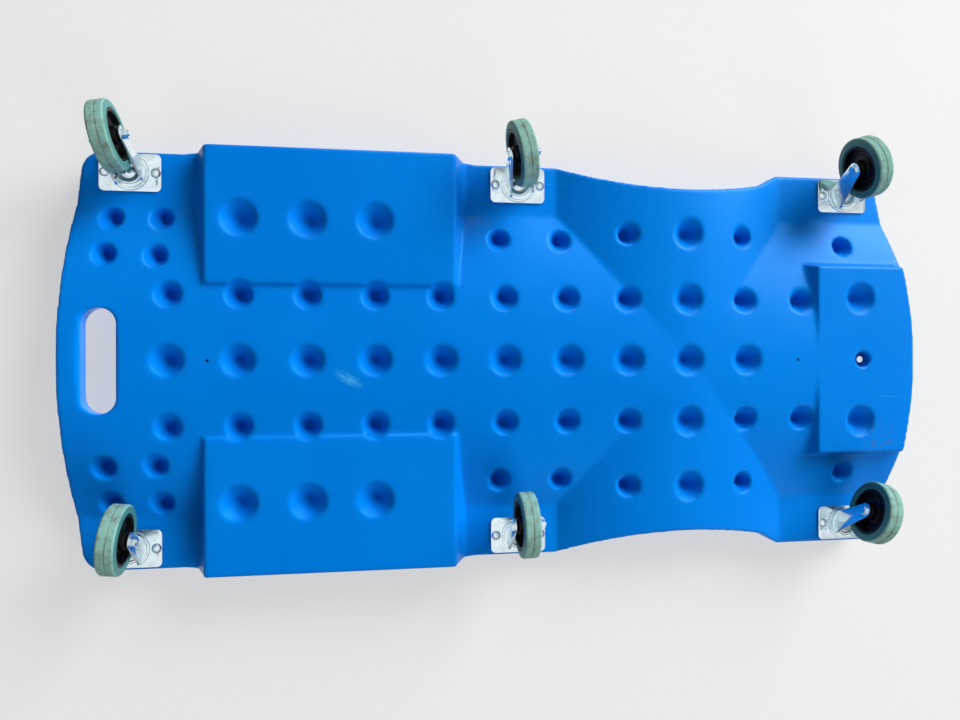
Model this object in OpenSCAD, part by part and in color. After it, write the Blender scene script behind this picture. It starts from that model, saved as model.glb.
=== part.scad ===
// Mechanics creeper: a blow-moulded deck with a body trough, two tool trays and a
// headrest, rolling on six swivel casters.
// +X runs to the head end, +Y to the user's right-hand side, +Z up from the floor.

/* [Deck] */
// Length of the deck over its curved ends
deck_l = 1030; // [1000:2:1080]
// Width of the deck across the caster pads
deck_w = 478; // [466:2:492]
// Thickness of the caster pads and the outer rim
pad_t = 22; // [18:1:28]
// How far the spine hangs below the pads
spine_drop = 35; // [30:1:38]
// Width of the rounded body between the pads
bulge_w = 356; // [340:2:362]
// Depth of the double wall, from underside to trough
wall_t = 27; // [25:1:30]
// Radius of the foot end in plan
foot_end_r = 1700; // [1200:50:2400]
// Radius of the head end in plan
head_end_r = 1300; // [1000:50:2000]
// Angle of the head end's tapered corners
head_taper = 12.5; // [8:0.5:16]
// Corner radius in plan
corner_r = 25; // [16:1:32]

/* [Waist] */
// Width of the deck at the waist
waist_w = 420; // [400:2:440]
// Reach of the waist vault towards the foot end
vault_foot = 159; // [140:1:175]
// Reach of the waist vault towards the head end
vault_head = 139; // [120:1:150]
// Radius of the waist cut
waist_r = 450; // [400:10:520]
// Reach of the waist cut towards the foot end
waist_foot = 168; // [150:1:180]
// Reach of the waist cut towards the head end
waist_head = 136; // [125:1:150]
// Slope of the shoulders at the ends of the waist cut
waist_slope = 28; // [20:1:45]

/* [Trays] */
// Length of a tray block
tray_l = 283; // [260:1:300]
// Distance from the foot end to a tray block
tray_foot = 153.5; // [148:0.5:165]
// Distance between the two tray blocks
tray_gap = 174; // [160:1:190]
// How far a tray block stands below the pads
tray_drop = 32; // [28:1:34]
// How far a tray's side stands out from the pads
tray_swell = 4; // [2:0.5:6]
// Slope of a tray block's end walls
tray_slope = 23; // [15:1:30]
// Radius at the foot of a tray block's end walls
tray_fillet = 26; // [16:1:30]
// Rim round a tray's recess
tray_rim = 14; // [10:1:20]
// Thickness of the ridge between a tray and the trough
tray_ridge = 25; // [18:1:32]
// Corner radius of a tray's recess
tray_r = 18; // [10:1:24]

/* [Head block] */
// Distance from the head end to the head block's inner wall
head_block_l = 133; // [126:1:145]
// Width of the head block
head_block_w = 237; // [228:1:250]
// Radius of the head block's end in plan
head_block_r = 500; // [400:20:700]
// Slope of the head block's walls
head_block_slope = 34; // [20:1:40]
// Length of the headrest's seat
seat_l = 106; // [102:1:110]
// Width of the headrest's seat
seat_w = 206; // [196:1:214]
// Corner radius of the headrest's seat
seat_r = 8; // [4:1:14]
// Distance from the head block's inner wall to the headrest's seat
seat_in = 8; // [4:1:14]

/* [Handle slot] */
// Width of the handle slot
slot_w = 37; // [30:1:42]
// Length of the handle slot
slot_l = 117; // [100:1:130]
// Distance from the foot end to the middle of the slot
slot_in = 42.5; // [38:0.5:46]
// Size of the rounding round the slot
slot_lip = 4; // [2:0.5:6]

/* [Kiss-off cones] */
// Distance between two cones along the deck
kiss_pitch = 76.2; // [75:0.1:77.5]
// Distance from the foot end to the first cone
kiss_foot = 114.8; // [112:0.2:118]
// Distance from the spine to the next row of cones
kiss_row = 75; // [70:1:78]
// Mouth of a cone on the spine
kiss_d = 38; // [32:1:42]
// Mouth of a cone beside the spine
kiss_side_d = 31; // [26:1:34]
// Mouth of a cone near the edge
kiss_edge_d = 27; // [22:1:30]
// Mouth of a cone under a tray
kiss_tray_d = 43; // [36:1:48]
// Mouth of a cone in the head block
kiss_head_d = 40; // [34:1:44]
// Distance from a tray block's inner side to its cones
kiss_tray_in = 74; // [66:1:82]
// Distance from the spine to the head block's cones
kiss_head_row = 78; // [72:1:84]
// Rounded tip of a cone
kiss_tip = 5; // [3:0.5:7]
// Skin left between a cone and the upper side
kiss_skin = 5; // [3:0.5:8]
// Diameter of the two vent holes
vent_d = 3; // [2:0.5:4]

/* [Casters] */
// Height of the pads above the floor
caster_h = 95; // [92:1:102]
// Distance from the middle of the deck to the casters
caster_y = 214.5; // [210:0.5:216]
// Position of the foot casters along the deck
foot_caster_x = -447.5; // [-450:0.5:-440]
// Position of the middle casters along the deck
mid_caster_x = 1.5; // [-5:0.5:6]
// Position of the head casters along the deck
head_caster_x = 436.5; // [430:0.5:440]
// Length of a caster plate
plate_l = 67.5; // [66:0.5:76]
// Width of a caster plate
plate_w = 43; // [42:0.5:46]
// Thickness of a caster plate
plate_t = 2.5; // [2:0.1:3]
// Corner radius of a caster plate
plate_r = 6; // [3:0.5:10]
// Distance between a plate's two bolts
bolt_spread = 55; // [54:0.5:57]
// Diameter of the raceway pressed into the plate
race_d = 41; // [39:0.5:42]
// Depth of the raceway
race_h = 2.3; // [1.8:0.1:3]
// Diameter of the ring of balls
ball_ring_d = 26; // [25:0.5:29]
// Diameter of a swivel ball
ball_d = 4.76; // [4:0.04:5]
// Number of swivel balls
ball_n = 15; // [12:1:16]
// Gap between the raceway and the fork's crown
race_gap = 1; // [0.8:0.1:1.4]
// Diameter of the king pin
king_d = 10; // [8:0.5:12]
// Diameter of the king pin's head
king_head_d = 17; // [15:0.5:19]
// Thickness of the king pin's head
king_head_h = 2.6; // [2:0.1:3.2]

/* [Wheels] */
// Diameter of a wheel
wheel_d = 75; // [70:1:78]
// Width of a tyre
wheel_w = 20; // [18:1:26]
// Diameter of the hub inside the tyre
hub_d = 55.5; // [50:0.5:58]
// Length of the hub's boss
hub_l = 24; // [23:0.5:30]
// Diameter of the hub's boss
hub_boss_d = 19; // [15:0.5:24]
// Thickness of the hub's web
hub_web = 6; // [4:0.5:9]
// Thickness of the hub's rim
hub_rim = 3.5; // [2.5:0.25:5]
// Rounding of the tyre's shoulders
shoulder_r = 3.5; // [2:0.5:5]
// Distance between the two fine grooves round the tread
groove_gap = 1.6; // [1.2:0.1:4]
// Radius of a fine groove
groove_r = 0.5; // [0.3:0.1:0.6]
// Offset of the axle behind the swivel axis
trail = 24.5; // [22:0.5:28]
// Diameter of the axle bolt
axle_d = 6; // [5:0.5:8]
// Width across the flats of the axle's head and nut
hex_af = 10; // [9:0.5:13]
// Thickness of the fork's sheet
fork_t = 2.5; // [2:0.1:3]
// Thickness of the fork's crown
crown_t = 3.4; // [3.2:0.1:3.8]
// Diameter of the fork's crown
crown_d = 37; // [34:0.5:38]
// Depth of the ring pressed into the crown behind the balls
crown_ring_h = 1.2; // [0.8:0.1:1.6]
// Width of a fork leg at the crown
leg_w = 29; // [26:1:35]
// Radius of the bends from the crown into the legs
bend_r = 5; // [3:0.5:7]
// Width of a fork leg's round end
leg_end_d = 18; // [15:0.5:22]
// Radius of a leg's shoulders beside the crown
leg_corner = 7; // [4:0.5:10]

/* [Fasteners] */
// Diameter of the caster bolts
bolt_d = 6; // [5:0.5:6.5]
// Diameter of the caster bolts' domed heads
bolt_head_d = 11.5; // [10:0.5:12]
// Height of the caster bolts' domed heads
bolt_head_h = 3.2; // [2.5:0.1:4]
// Diameter of the sleeve nuts' barrels
sleeve_d = 8.5; // [8:0.25:10]
// Diameter of the sleeve nuts' flanges
sleeve_flange_d = 16; // [14:0.5:20]
// Thickness of the sleeve nuts' flanges
sleeve_flange_t = 1.6; // [1.2:0.1:2.2]
// Distance from the pad's underside to a sleeve nut's barrel
sleeve_up = 3; // [2:0.5:5]
// Height of a hex head
hex_h = 4; // [3:0.5:5]
// Height of an axle nut
nut_h = 5.5; // [4:0.5:7]
// Thread that stands out past an axle nut
thread_out = 1.5; // [0.5:0.5:3]

/* [Headrest] */
// Length of the headrest
rest_l = 100; // [90:1:101]
// Width of the headrest
rest_w = 198; // [180:1:195]
// Height of the headrest
rest_h = 40; // [32:1:50]
// Rounding of the headrest's edges
rest_r = 13; // [8:1:15]
// Thickness of the vinyl cover
cover_t = 1.5; // [1:0.1:2.5]
// Thickness of the backing board
board_t = 6; // [4:0.5:8]
// Distance from the board's edge to its end under the cover
cover_lap = 14; // [8:1:20]
// Diameter of the headrest bolt
rest_bolt_d = 6; // [5:0.5:8]
// Diameter of the recess round the headrest bolt
rest_bore_d = 19.5; // [17:0.5:22]
// Skin under the headrest that its bolt clamps
rest_skin = 6; // [4:0.5:8]
// Diameter of the tee nut's flange
tee_flange_d = 18; // [14:1:22]
// Thickness of the tee nut's flange
tee_flange_t = 1.5; // [1:0.1:2]
// Thickness of the washer under the headrest bolt
washer_t = 1.2; // [1:0.1:2]

/* [Hidden] */
$fn = 96;
run_gap = 0.05;   // radial clearance of pins and bores
lay_gap = 0.3;    // gap between pieces that lie on each other
cut = 1;          // how far a cut runs past a face
cross = 0.002;    // how far two touching curves are let into each other
vault_rise = 0.05; // how far the waist's hollow stays above the long one
hole_gap = 0.2;   // radial clearance of a screw's hole
loose = 0.5;      // clearance round a fixing that nothing sees
side_gap = 0.5;   // gap between a hub's boss and the fork
block_thin = 1;   // how much thinner the trays and the headrest's seat are than the double wall
kiss_lead = 6;    // how far below the underside a cone starts to be cut
kiss_seam = 40;   // turn that keeps a cone's seam off the creases of the vault

// Heights above the floor
pad_z = caster_h;
rim_z = pad_z + pad_t;
spine_z = pad_z - spine_drop;
trough_z = spine_z + wall_t;
tray_z = pad_z - tray_drop;
tray_floor_z = tray_z + wall_t - block_thin;
seat_z = spine_z + wall_t - block_thin;

// The rounded body, its trough and the waist vault: arcs through known chords
function chord_r(half, rise) = (half * half + rise * rise) / (2 * rise);
function drop(d, r) = r - sqrt(max(0, r * r - d * d));
bulge_r = chord_r(bulge_w / 2, spine_drop);
vault_foot_r = chord_r(vault_foot, spine_drop);
vault_head_r = chord_r(vault_head, spine_drop);

// Places along the deck
foot_x = -deck_l / 2;
head_x = deck_l / 2;
kiss_x = foot_x + kiss_foot;
vault_x = kiss_x + 8 * kiss_pitch;
tray_x = foot_x + tray_foot;
tray_in_y = tray_gap / 2;
tray_out_y = deck_w / 2 + tray_swell;
tray_ramp = tray_drop * tan(tray_slope);
head_block_x = head_x - head_block_l;
seat_x = head_block_x + seat_in + seat_l / 2;
slot_x = foot_x + slot_in;
rest_x = seat_x;

// Cones away from the spine: place on a grid of kiss_pitch by kiss_row, and mouth
KISS_SIDE = concat(
    [for (i = [0:7]) [i, 1, kiss_side_d]],
    [[8, 1, kiss_d], [9, 1, kiss_side_d], [10, 1, kiss_side_d]],
    [[4.94, 1.967, kiss_edge_d], [5.94, 1.967, kiss_edge_d], [7, 2.053, kiss_edge_d + 1]],
    [[8, 2.067, kiss_d], [9, 2.053, kiss_edge_d], [10.9, 1.973, kiss_edge_d]],
    [[-0.92, 1.6, kiss_edge_d], [-0.2, 1.587, kiss_edge_d]],
    [[-0.87, 2.173, kiss_edge_d], [-0.16, 2.187, kiss_edge_d]]
);
// Columns of that grid with the head block's cones and with the two vents
HEAD_COLUMN = 11.02;
VENT_COLUMNS = [0.57, 9.89];

// Casters: name, place on the deck, and the way the fork trails, in degrees from +X
CASTERS = [
    ["foot_left", foot_caster_x, -caster_y, -101],
    ["foot_right", foot_caster_x, caster_y, -84],
    ["mid_left", mid_caster_x, -caster_y, -103],
    ["mid_right", mid_caster_x, caster_y, -92],
    ["head_left", head_caster_x, -caster_y, -107],
    ["head_right", head_caster_x, caster_y, -76],
];

// The wheels all trail to the left, so the deck stands off centre over its footprint
wheel_r = wheel_d / 2;
function reach_y(a) = abs(sin(a)) * (trail + wheel_r) + abs(cos(a)) * wheel_w / 2;
left_reach = caster_y + max([for (c = CASTERS) if (c[2] < 0) reach_y(c[3])]);
deck_y = (left_reach - tray_out_y) / 2;

// Heights inside a caster
plate_z = pad_z - plate_t;
race_z = plate_z - race_h;
ball_z = race_z - race_gap / 2;
crown_z = race_z - race_gap;
crown_low_z = crown_z - crown_t;
fork_in = hub_l / 2 + side_gap;
fork_out = fork_in + fork_t;
race_clear = ball_d / 2 + run_gap;
rivet_h = 1.5;     // height of the king pin's riveted end
rivet_flare = 2;   // how far the riveted end spreads
tongue_w = wheel_w / 3;
tongue_h = 1.5;    // height of the tongue that keys a tyre to its hub

// Heights of the fixings in the pads
bolt_end_z = rim_z - sleeve_flange_t - 2;
sleeve_bore_z = rim_z - sleeve_flange_t - cut;
sleeve_flange_z = rim_z - sleeve_flange_t - 2 * run_gap;
sleeve_low_z = pad_z + sleeve_up;

// Heights in the headrest
board_z = seat_z + lay_gap + cover_t;
foam_z = board_z + board_t;
rest_top_z = seat_z + lay_gap + rest_h;
rest_bore_top = seat_z - rest_skin;
board_l = rest_l - 2 * cover_t - 2 * run_gap;
board_w = rest_w - 2 * cover_t - 2 * run_gap;
foam_r = rest_r - cover_t;
tee_barrel_d = rest_bolt_d + 2;
washer_d = rest_bore_d - 4;
slot_half = (slot_l - slot_w) / 2;

CASTER_PARTS = ["plate", "swivel_balls", "king_pin", "fork", "axle_bolt", "axle_nut", "hub", "tyre"];

// ---------------------------------------------------------------- shapes

module in_place() {
    translate([0, deck_y, 0]) children();
}

module both_sides() {
    for (side = [0, 1]) mirror([0, side, 0]) children();
}

module rounded_rect(l, w, r) {
    square([l - 2 * r, w], center = true);
    square([l, w - 2 * r], center = true);
    for (x = [-1, 1], y = [-1, 1]) translate([x * (l / 2 - r), y * (w / 2 - r)]) circle(r);
}

module ring(outer_d, inner_d, h) {
    difference() {
        cylinder(d = outer_d, h = h);
        translate([0, 0, -cut]) cylinder(d = inner_d, h = h + 2 * cut);
    }
}

// Waste outside a rounded corner: the fillet circle touches the edges at a and b
module corner_waste(c, r, a, b, far) {
    difference() {
        polygon([c, a, [a[0], far[1]], far, [far[0], b[1]], b]);
        translate(c) circle(r + cross);
    }
}

// ---------------------------------------------------------------- deck outline

module foot_corner_waste() {
    r = corner_r;
    arc_x = foot_x + foot_end_r;
    c = [arc_x - sqrt(pow(foot_end_r - r, 2) - pow(deck_w / 2 - r, 2)), deck_w / 2 - r];
    away = [c[0] - arc_x, c[1]] / (foot_end_r - r);
    corner_waste(c, r, c + [0, r], c + r * away, [foot_x - cut, deck_w / 2 + cut]);
}

module head_corner_waste() {
    r = corner_r;
    n = [cos(head_taper), sin(head_taper)];
    edge = n * [head_x - drop(head_block_w / 2, head_end_r), head_block_w / 2];
    c = [(edge - r - (deck_w / 2 - r) * n[1]) / n[0], deck_w / 2 - r];
    corner_waste(c, r, c + [0, r], c + r * n, [head_x + cut, deck_w / 2 + cut]);
}

// One half of the waist cut, from the vault's crest to the shoulder where the pads begin
module waist_half(reach, way) {
    depth = (deck_w - waist_w) / 2;
    run = (depth + cut) / tan(waist_slope);
    out = cut / tan(waist_slope);
    scale([way, 1]) translate([0, waist_w / 2]) intersection() {
        translate([0, waist_r]) circle(waist_r, $fn = 360);
        polygon([[-cut, -cut], [reach - run, -cut], [reach + out, depth + cut], [-cut, depth + cut]]);
    }
}

// One side of the outline before its ends are rounded, from head to foot: the tapered
// corner, the straight pads and the tray's side, which bulges out past the pads
function side_points(side) =
    let (
        taper_y = head_block_w / 2,
        taper_x = head_x - drop(taper_y, head_end_r),
        pad_y = deck_w / 2,
        run = tray_ramp + tray_fillet / 2
    ) [
        [head_x, side * taper_y], [taper_x, side * taper_y],
        [taper_x - (pad_y - taper_y) * tan(head_taper), side * pad_y],
        [tray_x + tray_l + run, side * pad_y], [tray_x + tray_l, side * tray_out_y],
        [tray_x, side * tray_out_y], [tray_x - run, side * pad_y], [foot_x, side * pad_y],
    ];

module deck_outline() {
    right = side_points(1);
    left = side_points(-1);
    difference() {
        intersection() {
            polygon(concat(right, [for (i = [len(left) - 1:-1:0]) left[i]]));
            translate([foot_x + foot_end_r, 0]) circle(foot_end_r, $fn = 720);
            translate([head_x - head_end_r, 0]) circle(head_end_r, $fn = 720);
        }
        for (side = [0, 1]) mirror([0, side]) {
            foot_corner_waste();
            head_corner_waste();
            translate([vault_x, 0]) waist_half(waist_foot, -1);
            translate([vault_x, 0]) waist_half(waist_head, 1);
        }
    }
}

// ---------------------------------------------------------------- deck forms

// A lying cylinder whose lowest line is at height z, along X
module long_round(r, z) {
    translate([0, 0, z + r]) rotate([0, 90, 0])
        cylinder(r = r, h = deck_l + 2 * cut, center = true, $fn = 360);
}

// The same across the deck, on one side of the vault's crest
module cross_round(r, z, reach, way) {
    side_w = deck_w + 4 * tray_swell;
    intersection() {
        translate([vault_x, 0, z + r]) rotate([90, 0, 0])
            cylinder(r = r, h = side_w, center = true, $fn = 360);
        translate([way > 0 ? vault_x : vault_x - reach, -side_w / 2, z])
            cube([reach, side_w, rim_z - z + cut]);
    }
}

// End wall of a block in the XZ plane, with a concave foot where it meets the pads
module ramp_profile(face_x, face_z, slope, fillet, way) {
    run = (pad_z - face_z) * tan(slope);
    foot_x1 = face_x + way * run;
    lead = fillet * tan((90 - slope) / 2);
    polygon([[face_x, face_z], [foot_x1, pad_z], [foot_x1, pad_z + cut], [face_x, pad_z + cut]]);
    difference() {
        polygon([
            [foot_x1, pad_z], [foot_x1 + way * lead, pad_z], [foot_x1 + way * lead, pad_z + cut],
            [foot_x1, pad_z + cut], [foot_x1 - way * lead * sin(slope), pad_z - lead * cos(slope)],
        ]);
        translate([foot_x1 + way * lead, pad_z - fillet]) circle(fillet + cross);
    }
}

module tray_block() {
    side_run = tray_drop * tan(tray_slope) / 4;
    intersection() {
        translate([0, deck_w, 0]) rotate([90, 0, 0]) linear_extrude(deck_w) {
            translate([tray_x, tray_z]) square([tray_l, pad_z + cut - tray_z]);
            ramp_profile(tray_x, tray_z, tray_slope, tray_fillet, -1);
            ramp_profile(tray_x + tray_l, tray_z, tray_slope, tray_fillet, 1);
        }
        translate([tray_x - 4 * tray_fillet, 0, 0]) rotate([90, 0, 90])
            linear_extrude(tray_l + 8 * tray_fillet) polygon([
                [tray_in_y, tray_z], [tray_out_y + cut, tray_z], [tray_out_y + cut, pad_z + cut],
                [tray_in_y - side_run, pad_z + cut],
            ]);
    }
}

module head_block() {
    rise = wall_t;
    run = rise * tan(head_block_slope);
    side_run = run / 3;
    intersection() {
        translate([0, head_block_w, 0]) rotate([90, 0, 0]) linear_extrude(2 * head_block_w) polygon([
            [head_block_x, spine_z], [head_x, spine_z], [head_x, spine_z + rise],
            [head_block_x - run, spine_z + rise],
        ]);
        translate([head_block_x - run, 0, 0]) rotate([90, 0, 90])
            linear_extrude(head_block_l + run) polygon([
                [-head_block_w / 2, spine_z], [head_block_w / 2, spine_z],
                [head_block_w / 2 + side_run, spine_z + rise],
                [-head_block_w / 2 - side_run, spine_z + rise],
            ]);
        translate([head_x - head_block_r, 0, spine_z])
            cylinder(r = head_block_r, h = rise, $fn = 720);
    }
}

module deck_body() {
    intersection() {
        translate([0, 0, spine_z]) linear_extrude(rim_z - spine_z) deck_outline();
        union() {
            translate([-deck_l, -deck_w, pad_z]) cube([2 * deck_l, 2 * deck_w, pad_t]);
            long_round(bulge_r, spine_z);
            cross_round(vault_foot_r, spine_z, vault_foot, -1);
            cross_round(vault_head_r, spine_z, vault_head, 1);
            both_sides() tray_block();
            head_block();
        }
    }
}

// ---------------------------------------------------------------- hollows of the upper side

module trough() {
    long_round(bulge_r - wall_t, trough_z);
    cross_round(vault_foot_r - wall_t, trough_z + vault_rise, vault_foot, -1);
    cross_round(vault_head_r - wall_t, trough_z + vault_rise, vault_head, 1);
}

module tray_recess() {
    in_y = tray_in_y + tray_ridge;
    out_y = tray_out_y - tray_rim;
    l = tray_l - 2 * tray_rim;
    translate([tray_x + tray_l / 2, (in_y + out_y) / 2, tray_floor_z])
        linear_extrude(rim_z) rounded_rect(l, out_y - in_y, tray_r);
}

module headrest_seat() {
    translate([seat_x, 0, seat_z]) linear_extrude(rim_z) rounded_rect(seat_l, seat_w, seat_r);
}

// ---------------------------------------------------------------- holes

module slot_flare(z, up) {
    wide = slot_w / 2 + slot_lip;
    h = 2 * slot_lip;
    low = up ? slot_w / 2 : wide;
    high = up ? wide : slot_w / 2;
    for (y = [-slot_half, slot_half]) translate([0, y, z]) cylinder(r1 = low, r2 = high, h = h);
    translate([0, slot_half, z]) rotate([90, 0, 0]) linear_extrude(2 * slot_half)
        polygon([[-low, 0], [low, 0], [high, h], [-high, h]]);
}

module handle_slot() {
    translate([slot_x, 0, 0]) {
        translate([0, 0, spine_z - cut]) linear_extrude(rim_z) {
            square([slot_w, 2 * slot_half], center = true);
            for (y = [-slot_half, slot_half]) translate([0, y]) circle(slot_w / 2);
        }
        slot_flare(spine_z - slot_lip, false);
        slot_flare(trough_z - slot_lip, true);
    }
}

// Height of the underside at a place on the deck
function vault_drop(x) =
    x < vault_x - vault_foot || x > vault_x + vault_head ? spine_drop
    : drop(x - vault_x, x < vault_x ? vault_foot_r : vault_head_r);
function body_drop(y) = abs(y) > bulge_w / 2 ? spine_drop : drop(y, bulge_r);
function under_z(x, y) = spine_z + min(vault_drop(x), body_drop(y));

// A cone pressed up from the underside until it almost meets the upper wall
module kiss_off(x, y, d, z, depth) {
    lean = atan((d / 2 - kiss_tip) / (depth - kiss_tip));
    tip_r = kiss_tip / cos(lean);
    straight = depth - (tip_r - kiss_tip * tan(lean));
    flare = (d / 2 - kiss_tip) / straight;
    translate([x, y, z - kiss_lead]) rotate([0, 0, kiss_seam])
        cylinder(r1 = d / 2 + kiss_lead * flare, r2 = kiss_tip, h = straight + kiss_lead, $fn = 48);
    translate([x, y, z + depth - tip_r]) sphere(tip_r + cross, $fn = 32);
}

module kiss_offs() {
    depth = wall_t - kiss_skin;
    block_depth = depth - block_thin;
    for (i = [0:9]) kiss_off(kiss_x + i * kiss_pitch, 0, kiss_d, spine_z, depth);
    both_sides() {
        for (k = KISS_SIDE) {
            x = kiss_x + k[0] * kiss_pitch;
            y = k[1] * kiss_row;
            kiss_off(x, y, k[2], under_z(x, y), depth);
        }
        for (i = [1:3])
            kiss_off(kiss_x + i * kiss_pitch, tray_in_y + kiss_tray_in, kiss_tray_d, tray_z, block_depth);
        kiss_off(kiss_x + HEAD_COLUMN * kiss_pitch, kiss_head_row, kiss_head_d, spine_z, block_depth);
    }
}

module vents() {
    for (column = VENT_COLUMNS) translate([kiss_x + column * kiss_pitch, 0, spine_z - cut])
        cylinder(d = vent_d, h = wall_t / 2, $fn = 24);
}

module caster_holes() {
    for (c = CASTERS, x = [-1, 1]) translate([c[1] + x * bolt_spread / 2, c[2], 0]) {
        translate([0, 0, pad_z - cut]) cylinder(d = sleeve_d + 2 * run_gap, h = pad_t + 2 * cut);
        translate([0, 0, rim_z - sleeve_flange_t - hole_gap])
            cylinder(d = sleeve_flange_d + 2 * hole_gap, h = sleeve_flange_t + cut);
    }
}

module headrest_bore() {
    translate([rest_x, 0, spine_z - cut]) cylinder(d = rest_bore_d, h = rest_bore_top - spine_z + cut);
    translate([rest_x, 0, spine_z]) cylinder(d = rest_bolt_d + 2 * loose, h = wall_t);
}

module deck() {
    color("#1170d8") in_place() difference() {
        deck_body();
        trough();
        both_sides() tray_recess();
        headrest_seat();
        handle_slot();
        kiss_offs();
        vents();
        caster_holes();
        headrest_bore();
    }
}

// ---------------------------------------------------------------- fasteners through the pads

module caster_bolt() {
    dome_r = chord_r(bolt_head_d / 2, bolt_head_h);
    intersection() {
        translate([0, 0, plate_z - bolt_head_h]) cylinder(d = bolt_head_d, h = bolt_head_h);
        translate([0, 0, plate_z - bolt_head_h + dome_r]) sphere(dome_r);
    }
    low_z = plate_z - bolt_head_h / 4;
    translate([0, 0, low_z]) cylinder(d = bolt_d, h = bolt_end_z - low_z);
}

module caster_bolts() {
    color("silver") in_place()
        for (c = CASTERS, x = [-1, 1]) translate([c[1] + x * bolt_spread / 2, c[2], 0]) caster_bolt();
}

module sleeve_nut() {
    barrel_h = sleeve_flange_z + sleeve_flange_t / 2 - sleeve_low_z;
    bore_h = sleeve_bore_z - sleeve_low_z + cut;
    difference() {
        union() {
            translate([0, 0, sleeve_flange_z]) cylinder(d = sleeve_flange_d, h = sleeve_flange_t);
            translate([0, 0, sleeve_low_z]) cylinder(d = sleeve_d, h = barrel_h);
        }
        translate([0, 0, sleeve_low_z - cut]) cylinder(d = bolt_d + 2 * run_gap, h = bore_h);
    }
}

module sleeve_nuts() {
    color("silver") in_place()
        for (c = CASTERS, x = [-1, 1]) translate([c[1] + x * bolt_spread / 2, c[2], 0]) sleeve_nut();
}

// ---------------------------------------------------------------- headrest

// A block whose upright edges and top edges are rounded
module soft_block(l, w, h, r) {
    linear_extrude(h - r) rounded_rect(l, w, r);
    translate([0, 0, h - r]) {
        translate([-l / 2 + r, -w / 2 + r, 0]) cube([l - 2 * r, w - 2 * r, r]);
        for (x = [-1, 1]) translate([x * (l / 2 - r), 0, 0]) rotate([90, 0, 0])
            cylinder(r = r, h = w - 2 * r, center = true);
        for (y = [-1, 1]) translate([0, y * (w / 2 - r), 0]) rotate([0, 90, 0])
            cylinder(r = r, h = l - 2 * r, center = true);
        for (x = [-1, 1], y = [-1, 1]) translate([x * (l / 2 - r), y * (w / 2 - r), 0]) sphere(r);
    }
}

module headrest_cover() {
    color("#26282b") in_place() translate([rest_x, 0, seat_z + lay_gap]) difference() {
        soft_block(rest_l, rest_w, rest_h, rest_r);
        translate([0, 0, cover_t])
            soft_block(rest_l - 2 * cover_t, rest_w - 2 * cover_t, rest_h - 2 * cover_t, foam_r);
        translate([0, 0, -cut]) linear_extrude(2 * cut + cover_t)
            rounded_rect(board_l - 2 * cover_lap, board_w - 2 * cover_lap, foam_r / 2);
    }
}

module headrest_foam() {
    h = rest_h - 2 * cover_t - board_t - run_gap;
    color("#d8cf9a") in_place() translate([rest_x, 0, foam_z]) difference() {
        translate([0, 0, run_gap]) soft_block(board_l, board_w, h - run_gap, foam_r);
        translate([0, 0, -cut]) cylinder(d = tee_flange_d + 2 * loose, h = tee_flange_t + cut + loose);
        translate([0, 0, -cut]) cylinder(d = rest_bolt_d + 2 * loose, h = board_t + cut);
    }
}

module headrest_board() {
    color("#b98f5a") in_place() translate([rest_x, 0, board_z]) difference() {
        linear_extrude(board_t) rounded_rect(board_l, board_w, foam_r);
        translate([0, 0, -cut]) cylinder(d = tee_barrel_d + 2 * run_gap, h = board_t + 2 * cut);
    }
}

module headrest_tee_nut() {
    low = board_t - 2 * loose;
    h = low + tee_flange_t;
    color("silver") in_place() translate([rest_x, 0, foam_z]) difference() {
        union() {
            translate([0, 0, run_gap]) cylinder(d = tee_flange_d, h = tee_flange_t);
            translate([0, 0, -low]) cylinder(d = tee_barrel_d, h = h);
        }
        translate([0, 0, -low - cut]) cylinder(d = rest_bolt_d + 2 * run_gap, h = h + 2 * cut);
    }
}

module headrest_washer() {
    color("silver") in_place() translate([rest_x, 0, rest_bore_top - washer_t])
        ring(washer_d, rest_bolt_d + 2 * hole_gap, washer_t);
}

module headrest_bolt() {
    head_z = rest_bore_top - washer_t;
    end_z = foam_z + 2 * tee_flange_t;
    color("silver") in_place() translate([rest_x, 0, head_z]) {
        translate([0, 0, -hex_h]) cylinder(d = hex_af / cos(30), h = hex_h, $fn = 6);
        translate([0, 0, -hex_h / 2]) cylinder(d = rest_bolt_d, h = end_z - head_z + hex_h / 2);
    }
}

// ---------------------------------------------------------------- casters

// Fixed pieces stand square to the deck, swivelling ones turn with their heading
module at_caster(c) {
    in_place() translate([c[1], c[2], 0]) children();
}

module trailing(c) {
    at_caster(c) rotate([0, 0, c[3]]) children();
}

// About the axle, with local Z along it
module on_axle() {
    translate([trail, 0, wheel_r]) rotate([90, 0, 0]) children();
}

module race_groove() {
    translate([0, 0, ball_z]) rotate_extrude() translate([ball_ring_d / 2, 0]) circle(race_clear, $fn = 48);
}

module plate(c) {
    color("#dfe6ea") at_caster(c) difference() {
        union() {
            translate([0, 0, plate_z]) linear_extrude(plate_t) rounded_rect(plate_l, plate_w, plate_r);
            translate([0, 0, race_z]) cylinder(d = race_d, h = race_h + plate_t / 2);
        }
        race_groove();
        translate([0, 0, race_z - cut]) cylinder(d = king_d + 2 * run_gap, h = race_h + plate_t + 2 * cut);
        translate([0, 0, pad_z - rivet_h])
            cylinder(d1 = king_d, d2 = king_d + 2 * rivet_flare, h = rivet_h + run_gap);
        for (x = [-1, 1]) translate([x * bolt_spread / 2, 0, plate_z - cut])
            cylinder(d = bolt_d + 2 * hole_gap, h = plate_t + 2 * cut);
    }
}

module swivel_balls(c) {
    color("#b8bcc0") at_caster(c)
        for (i = [0:ball_n - 1]) rotate([0, 0, i * 360 / ball_n])
            translate([ball_ring_d / 2, 0, ball_z]) sphere(d = ball_d, $fn = 24);
}

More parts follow.
